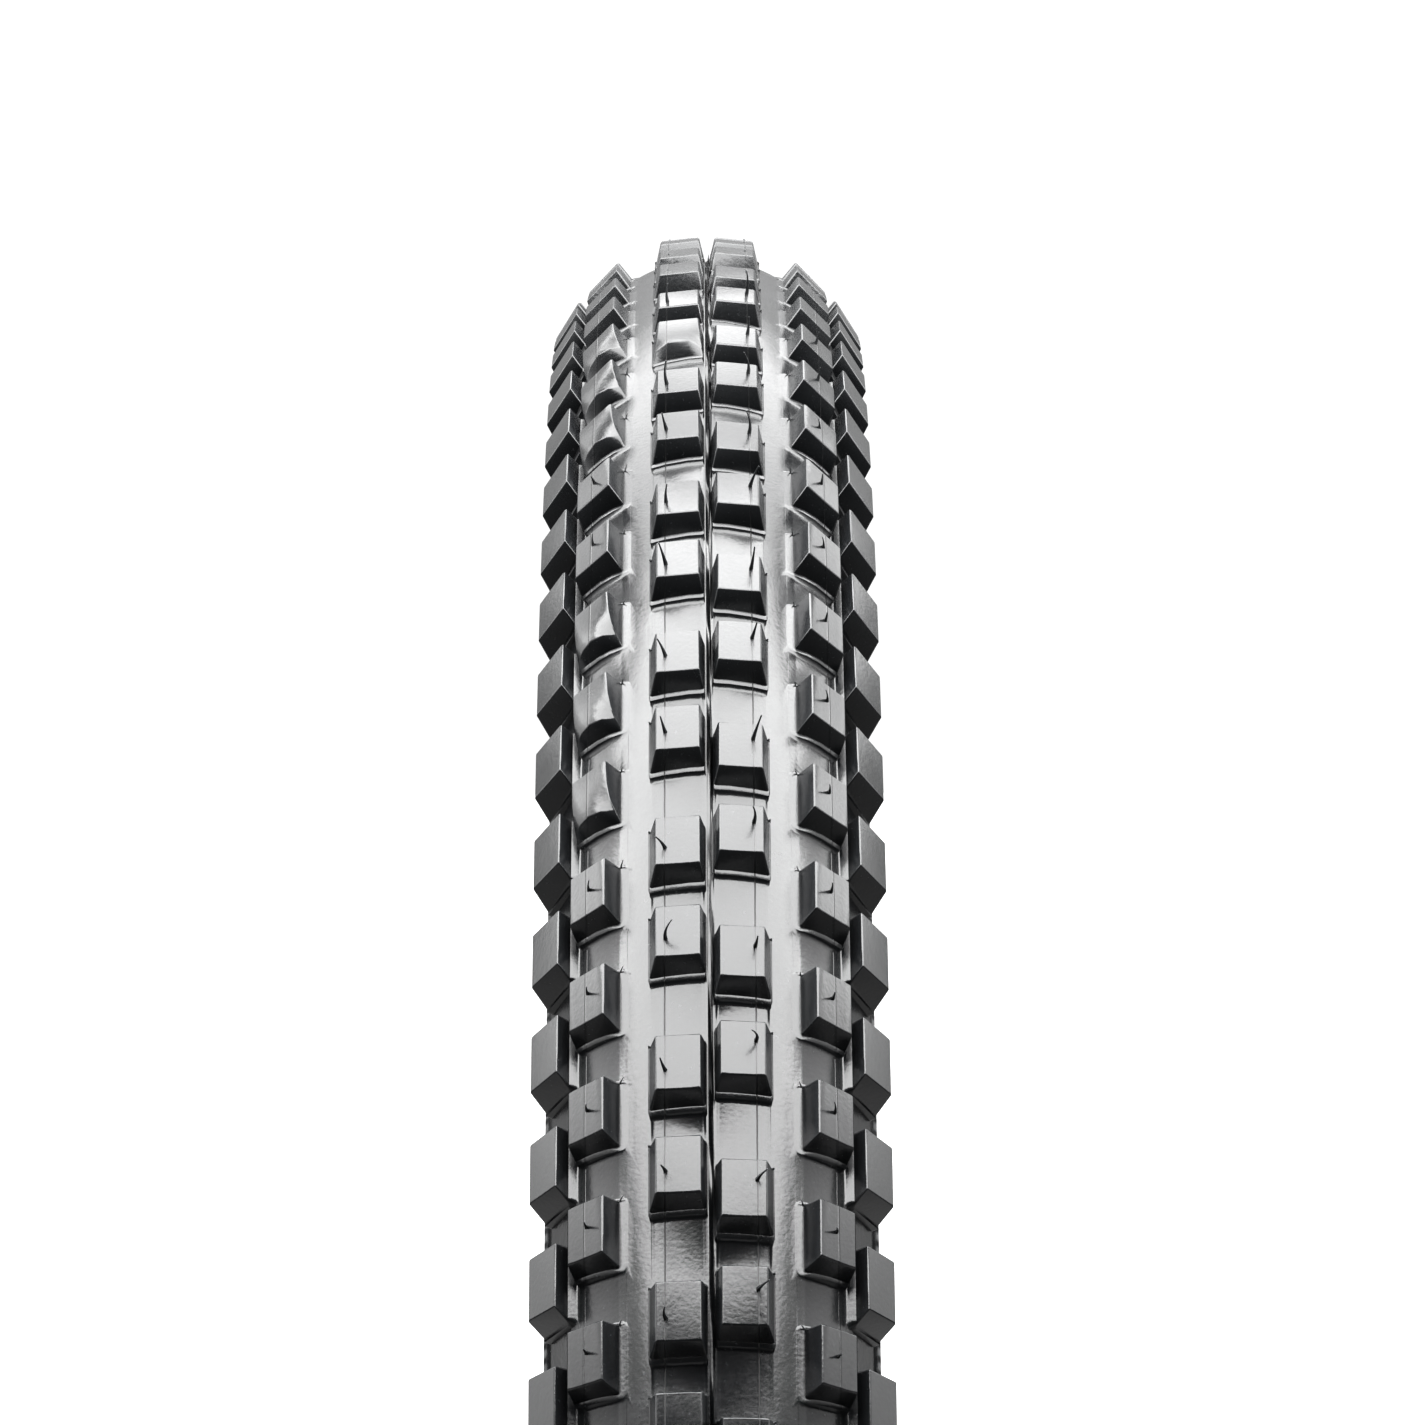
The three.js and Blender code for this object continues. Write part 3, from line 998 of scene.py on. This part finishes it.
def breaker_outline():
    """The fabric strip under the tread."""
    return sheet(both_sides(arc(BREAKER_RADIUS, 0, BREAKER_REACH)), PLY)


def tape_outline():
    """The tape round the bead wire, open at the top."""
    path = [at_bead(-1.2, 1), at_bead(-1.2, -1.2), at_bead(1.2, -1.2), at_bead(1.2, 1)]
    return sheet(rounded(path, 0.4, 3), TAPE)


def filler_outline():
    """The rubber wedge above the bead wire."""
    return [at_bead(-1, 1.5), at_bead(1.3, 1.5), at_bead(1.32, 2.2), at_bead(2.3, 4.25)]


def bead_wire(name, sign, node):
    """The bead hoop: six strands laid round a seventh."""
    strand = WIRE_RADIUS / 3 * 0.97  # radius of a strand, a little slack
    lay = 40  # turns of the outer strands round the seventh
    sides, steps = 6, SEGMENTS
    vertices, faces = [], []
    for number in range(7):
        first = len(vertices)
        for k in range(steps):
            theta = TURN * k / steps
            a = TURN * number / 6 + theta * lay
            reach = 0 if number == 6 else 2 * strand
            y, r = sign * (WIRE_Y + reach * math.cos(a)), HOOP_RADIUS + reach * math.sin(a)
            for j in range(sides):
                b = TURN * j / sides
                rr = r + strand * math.sin(b)
                spot = (rr * math.cos(theta), y + strand * math.cos(b), rr * math.sin(theta))
                vertices.append(tuple(c * MM for c in spot))
        for k in range(steps):
            for j in range(sides):
                here, there = first + k * sides, first + (k + 1) % steps * sides
                jj = (j + 1) % sides
                faces.append((here + j, here + jj, there + jj, there + j))
    data = bpy.data.meshes.new(name)
    data.from_pydata(vertices, [], faces)
    add_piece(data, STEEL, 60, [node])


def layers():
    """Every piece under and beside the tread."""
    centred = [
        ("casing_inner_ply", inner_ply_outline(), "casing_fabric", CASING, "casing_ply_inner"),
        ("casing_outer_ply", outer_ply_outline(), "casing_fabric", CASING, "casing_ply_outer"),
        ("breaker_cloth", breaker_outline(), "breaker_fabric", BREAKER, "breaker_strip"),
    ]
    for name, outline, slot, material, node in centred:
        add_piece(revolve(name, outline), material, 35, [node])
    sided = [
        ("sidewall_skin", sidewall_outline(), "sidewall_rubber", SIDEWALL, "sidewall"),
        ("chafer_cloth", chafer_outline(), "chafer_fabric", CHAFER, "chafer"),
        ("filler_wedge", filler_outline(), "filler_rubber", FILLER, "bead_filler"),
        ("tape_wrap", tape_outline(), "tape_fabric", TAPE_CLOTH, "bead_tape"),
    ]
    for side, sign in (("left", -1), ("right", 1)):
        for name, outline, slot, material, node in sided:
            placed = outline if sign > 0 else mirrored(outline)
            add_piece(revolve(f"{name}_{side}", placed), material, 35, [f"{node}_{side}"])
        bead_wire(f"wire_hoop_{side}", sign, f"bead_wire_{side}")


# ---- floor, light and camera ----------------------------------------------------------------


def floor():
    """A plain pale floor that the tyre stands on. The room's light stands in for its glow."""
    size = 14.0
    data = bpy.data.meshes.new("floor")
    corners = [(-size, -size, 0), (size, -size, 0), (size, size, 0), (-size, size, 0)]
    data.from_pydata(corners, [], [(0, 1, 2, 3)])
    finish = Finish("floor paint")
    finish.set(Base_Color=finish.blend(finish.noise(0.002), (0.86, 0.86, 0.86), (0.9, 0.9, 0.9)))
    finish.set(Roughness=0.9, Specular_IOR_Level=0.1)
    finish.set(Emission_Color=(1.0, 1.0, 1.0), Emission_Strength=0.75)
    data.materials.append(finish.material)
    ground = bpy.data.objects.new("floor", data)
    ground.location.z = GROUND * MM
    bpy.context.scene.collection.objects.link(ground)
    ground.visible_glossy = False
    ground.visible_diffuse = False


WORLD_LOW = 0.5  # brightness of the room behind the tyre, near the horizon
WORLD_HIGH = 0.95  # the same, more than about 20 degrees above it
WORLD_LEFT = 4.3  # how many times brighter the room is far to the left
WORLD_RIGHT = 3.6  # the same far to the right
WORLD_FRONT = 0.1  # how bright the room is on the camera's side, as a share
WORLD_FLOOR = 0.8  # light thrown back by the floor under and behind the tyre


def studio_world():
    """A white room, dim on the camera's side and at the floor. The camera sees plain white."""
    world = bpy.data.worlds.new("studio")
    bpy.context.scene.world = world
    world.use_nodes = True
    world.node_tree.nodes.clear()
    nodes = Nodes(world.node_tree)

    def times(a, b):
        return nodes.math("MULTIPLY", a, b)

    split = nodes.add("ShaderNodeSeparateXYZ")
    nodes.link(nodes.add("ShaderNodeTexCoord").outputs["Generated"], split.inputs[0])
    x, y, z = split.outputs  # the direction looked in, of length 1
    # Each range is where the brightness changes from the first value to the second.
    behind = nodes.remap(x, -0.3, 0.75, 1.0, WORLD_FRONT)
    left = nodes.remap(y, -0.76, -0.68, WORLD_LEFT, 1.0)
    right = nodes.remap(y, 0.68, 0.76, 1.0, WORLD_RIGHT)
    height = nodes.remap(z, 0.12, 0.35, WORLD_LOW, WORLD_HIGH)
    above_floor = nodes.remap(z, -0.06, 0.0, 0.01, 1.0)
    walls = times(times(left, right), times(height, above_floor))
    glow = nodes.remap(z, -0.5, -0.35, WORLD_FLOOR, 0.0)
    room = times(behind, nodes.math("ADD", walls, glow))

    strength = nodes.add("ShaderNodeMix", data_type="FLOAT")
    nodes.link(nodes.add("ShaderNodeLightPath").outputs["Is Camera Ray"], strength.inputs[0])
    nodes.link(room, strength.inputs[2])
    strength.inputs[3].default_value = 1.0
    background = nodes.add("ShaderNodeBackground")
    background.inputs["Color"].default_value = (1, 1, 1, 1)
    nodes.link(strength.outputs[0], background.inputs["Strength"])
    output = nodes.add("ShaderNodeOutputWorld")
    nodes.link(background.outputs[0], output.inputs["Surface"])


def soft_light(name, place, facing, size, radiance):
    """A rectangular soft light, with its place and size in metres, facing along a direction."""
    data = bpy.data.lights.new(name, "AREA")
    data.shape = "RECTANGLE"
    data.size, data.size_y = size
    data.energy = radiance * math.pi * size[0] * size[1]
    light = bpy.data.objects.new(name, data)
    light.location = place
    light.rotation_euler = Vector(facing).to_track_quat("-Z", "Y").to_euler()
    bpy.context.scene.collection.objects.link(light)
    light.visible_camera = False


def lights():
    """A wide soft box overhead, a dimmer one behind the tyre, and one high on each side."""
    soft_light(
        "overhead", place=(0.5, 0, 1.2), facing=(0, 0, -1), size=(1.6, 2.6), radiance=10.0,
    )
    soft_light(
        "back_top", place=(-0.66, 0, 1.14), facing=(0.7, 0, -0.72), size=(1.3, 0.8),
        radiance=3.9,
    )
    for name, sign, radiance in (("left", -1, 1.6), ("right", 1, 2.6)):
        soft_light(
            f"side_{name}", place=(-0.78, 1.05 * sign, 0.86), facing=(0.56, -0.78 * sign, -0.5),
            size=(1.05, 0.5), radiance=radiance,
        )


CAMERA_DISTANCE = 1.10078  # from the wheel's centre, in metres
CAMERA_HEIGHT_ANGLE = 0.177504  # of the camera above the wheel's centre, in radians
CAMERA_SIDE_ANGLE = 0.00033  # of the camera to the right of the centre plane
CAMERA_PITCH = 0.017718  # how far it looks down, and so on, in radians too
CAMERA_YAW = -0.00012
CAMERA_ROLL = -0.00533
SENSOR_WIDTH = 36.0  # in mm, as is the lens
LENS = 176.3166


def camera():
    """The viewing position: a little above the wheel's centre, with a long lens."""
    place = CAMERA_DISTANCE * Vector((
        math.cos(CAMERA_HEIGHT_ANGLE) * math.cos(CAMERA_SIDE_ANGLE),
        math.cos(CAMERA_HEIGHT_ANGLE) * math.sin(CAMERA_SIDE_ANGLE),
        math.sin(CAMERA_HEIGHT_ANGLE),
    ))
    look = -Vector((
        math.cos(CAMERA_PITCH) * math.cos(CAMERA_YAW),
        math.cos(CAMERA_PITCH) * math.sin(CAMERA_YAW),
        math.sin(CAMERA_PITCH),
    ))
    right = look.cross(Vector((0, 0, 1))).normalized()
    up = right.cross(look)
    right, up = (
        right * math.cos(CAMERA_ROLL) + up * math.sin(CAMERA_ROLL),
        up * math.cos(CAMERA_ROLL) - right * math.sin(CAMERA_ROLL),
    )
    data = bpy.data.cameras.new("camera")
    data.sensor_width = SENSOR_WIDTH
    data.lens = LENS
    data.clip_start = 0.05
    data.clip_end = 60
    view = bpy.data.objects.new("camera", data)
    view.matrix_world = Matrix((
        (right.x, up.x, -look.x, place.x),
        (right.y, up.y, -look.y, place.y),
        (right.z, up.z, -look.z, place.z),
        (0, 0, 0, 1),
    ))
    bpy.context.scene.collection.objects.link(view)
    bpy.context.scene.camera = view


# ---- building it --------------------------------------------------------------------------

RUBBER = tread_rubber()
HAIR = hair_rubber()
SIDEWALL = sidewall_rubber()
CASING = cord_fabric(
    "casing fabric", (0.006, 0.006, 0.007), (0.035, 0.034, 0.033),
    threads_round=1100, thread_mm=1.0, plain_weave=False, depth_mm=0.12,
)
BREAKER = cord_fabric(
    "breaker fabric", (0.01, 0.01, 0.01), (0.05, 0.048, 0.045),
    threads_round=900, thread_mm=1.2, plain_weave=True, depth_mm=0.1,
)
CHAFER = cord_fabric(
    "chafer fabric", (0.006, 0.006, 0.006), (0.03, 0.03, 0.031),
    threads_round=1300, thread_mm=0.9, plain_weave=True, depth_mm=0.14,
)
TAPE_CLOTH = cord_fabric(
    "tape fabric", (0.02, 0.018, 0.015), (0.09, 0.08, 0.065),
    threads_round=1300, thread_mm=0.7, plain_weave=True, depth_mm=0.06,
)
FILLER = filler_rubber()
STEEL = bead_steel()

camera()
floor()
studio_world()
lights()
knob_rows = tread()
vent_hairs(knob_rows)
layers()

# Plain colours, with the dark tones deepened.
view_settings = bpy.context.scene.view_settings
view_settings.view_transform = "Standard"
view_settings.gamma = 0.8
view_settings.exposure = 0.11
